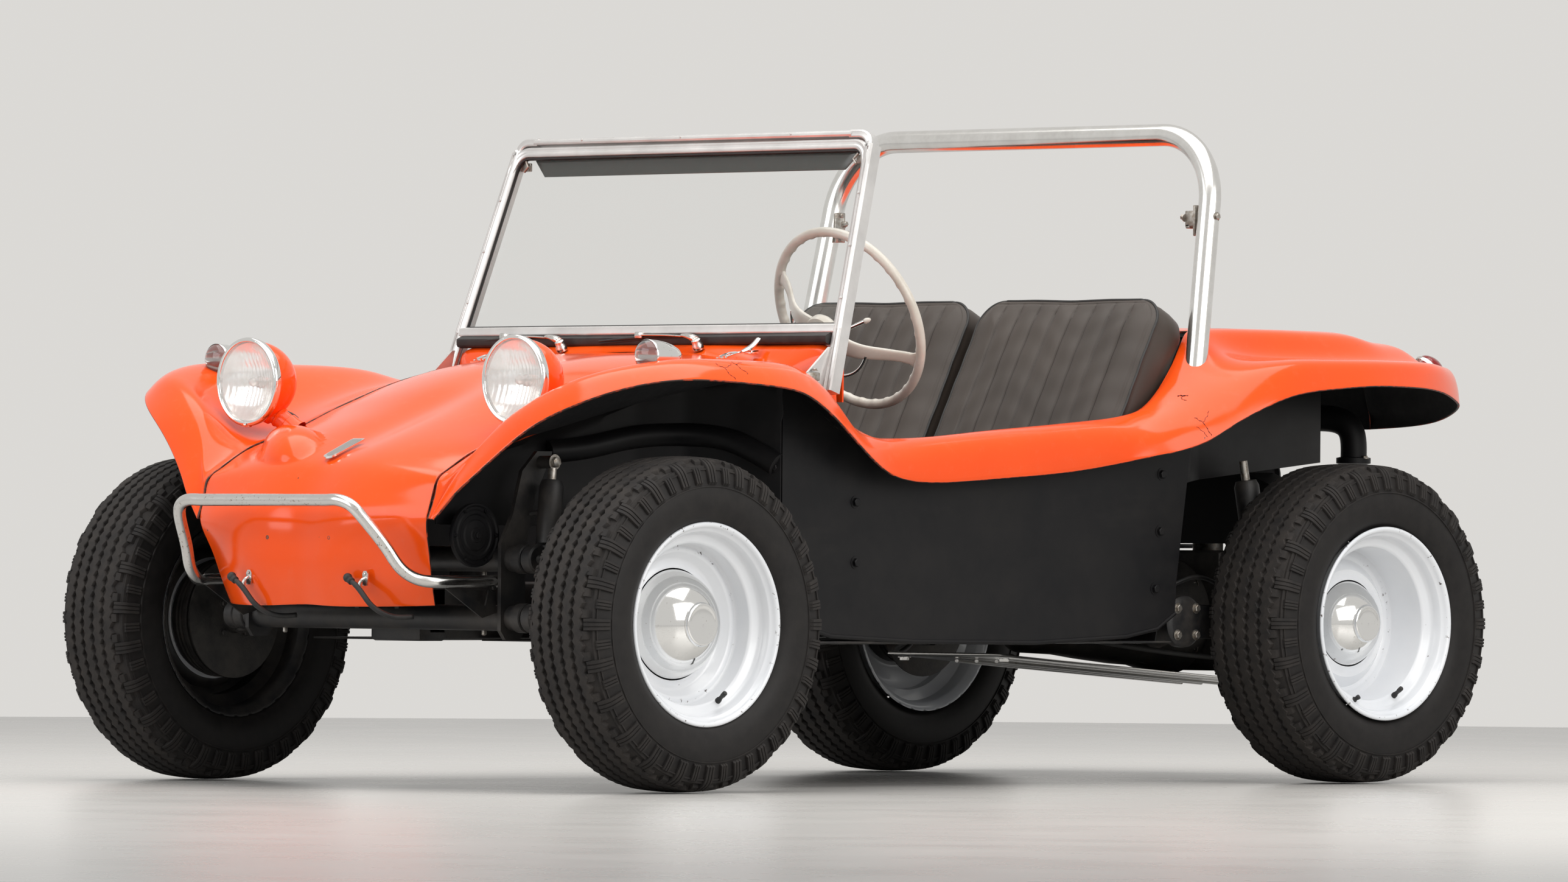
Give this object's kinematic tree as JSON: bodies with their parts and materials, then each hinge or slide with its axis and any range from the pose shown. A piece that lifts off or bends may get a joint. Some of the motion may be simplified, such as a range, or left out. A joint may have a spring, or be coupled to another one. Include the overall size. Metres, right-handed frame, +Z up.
{
  "type": "dune buggy",
  "caption": "Open two-seat dune buggy: glass-fibre body panels on a floor pan, lift-off hood lid, roll bar, folded-flat windshield frame, steered front wheels and a rear engine.",
  "frame": {"origin": "on the floor under the middle of the car's box", "axes": "-Y forward, +X to the car's left side, +Z up"},
  "size_m": [1.62, 3.203, 1.412],
  "materials": {
    "body_paint": "gloss orange gel coat",
    "black_paint": "satin black",
    "frame_paint": "dusty black",
    "chrome": "polished",
    "lamp_glass": "ribbed clear",
    "lamp_red": "dark red lens",
    "horn_metal": "satin black",
    "cast_metal": "oily dark metal",
    "alloy": "dull with scratches",
    "window_glass": "clear",
    "visor": "dark vinyl",
    "ivory": "aged off-white",
    "black_plastic": "dark",
    "vinyl": "pleated black vinyl",
    "rubber": "dusty rubber",
    "wheel_paint": "gloss white with rust chips"
  },
  "bodies": {
    "chassis": {"floor_pan": "frame_paint", "tub_sides": "black_paint", "inner_wings": "black_paint", "rear_bulkhead": "black_paint", "front_fenders": "body_paint", "cowl": "body_paint", "sills": "body_paint", "rear_fenders": "body_paint", "rear_deck": "body_paint", "turn_signals": "chrome", "tail_lamps": "lamp_red", "front_bumper": "chrome", "horn": "horn_metal", "front_beam": "frame_paint", "front_suspension": "frame_paint", "rear_axle": "cast_metal", "rear_suspension": "frame_paint", "engine": "cast_metal", "exhaust": "frame_paint", "skid_plate": "alloy", "roll_bar": "chrome", "windshield_frame": "alloy", "windshield_glass": "window_glass", "sun_visor": "visor", "wipers": "chrome", "dashboard": "body_paint", "steering_column": "black_plastic", "cabin_controls": "black_plastic", "seat_bases": "vinyl", "seat_backs": "vinyl"},
    "hood_lid": {"hood": "body_paint", "headlights": "lamp_glass"},
    "steer_left": {"knuckle_left": "cast_metal"},
    "steer_right": {"knuckle_right": "cast_metal"},
    "steering_wheel": {"steering_wheel": "ivory"},
    "wheel_fl": {"tyre_fl": "rubber", "rim_fl": "wheel_paint", "cap_fl": "chrome"},
    "wheel_fr": {"tyre_fr": "rubber", "rim_fr": "wheel_paint", "cap_fr": "chrome"},
    "wheel_rl": {"tyre_rl": "rubber", "rim_rl": "wheel_paint", "cap_rl": "chrome"},
    "wheel_rr": {"tyre_rr": "rubber", "rim_rr": "wheel_paint", "cap_rr": "chrome"}
  },
  "joints": [
    {"name": "hood_lift", "type": "slide", "parent": "chassis", "child": "hood_lid", "axis": [0, 0, 1], "range_m": [0, 0.3]},
    {"name": "steer_left", "type": "hinge", "parent": "chassis", "child": "steer_left", "pos_m": [0.6, -1.1008, 0.341], "axis": [0, 0, 1], "range_deg": [-28, 28]},
    {"name": "steer_right", "type": "hinge", "parent": "chassis", "child": "steer_right", "pos_m": [-0.6, -1.1008, 0.341], "axis": [0, 0, 1], "range_deg": [-28, 28]},
    {"name": "steering_turn", "type": "hinge", "parent": "chassis", "child": "steering_wheel", "pos_m": [0.3, -0.1998, 0.98], "axis": [0, 0.9171, 0.3987], "range_deg": [-400, 400]},
    {"name": "wheel_fl", "type": "hinge", "parent": "steer_left", "child": "wheel_fl", "pos_m": [0.706, -1.1008, 0.341], "axis": [1, 0, 0], "continuous": true},
    {"name": "wheel_fr", "type": "hinge", "parent": "steer_right", "child": "wheel_fr", "pos_m": [-0.706, -1.1008, 0.341], "axis": [1, 0, 0], "continuous": true},
    {"name": "wheel_rl", "type": "hinge", "parent": "chassis", "child": "wheel_rl", "pos_m": [0.69, 0.9312, 0.343], "axis": [1, 0, 0], "continuous": true},
    {"name": "wheel_rr", "type": "hinge", "parent": "chassis", "child": "wheel_rr", "pos_m": [-0.69, 0.9312, 0.343], "axis": [1, 0, 0], "continuous": true}
  ],
  "couplings": [
    {"joint": "steer_right", "follows": "steer_left", "ratio": 1},
    {"joint": "steering_turn", "follows": "steer_left", "ratio": 14}
  ]
}
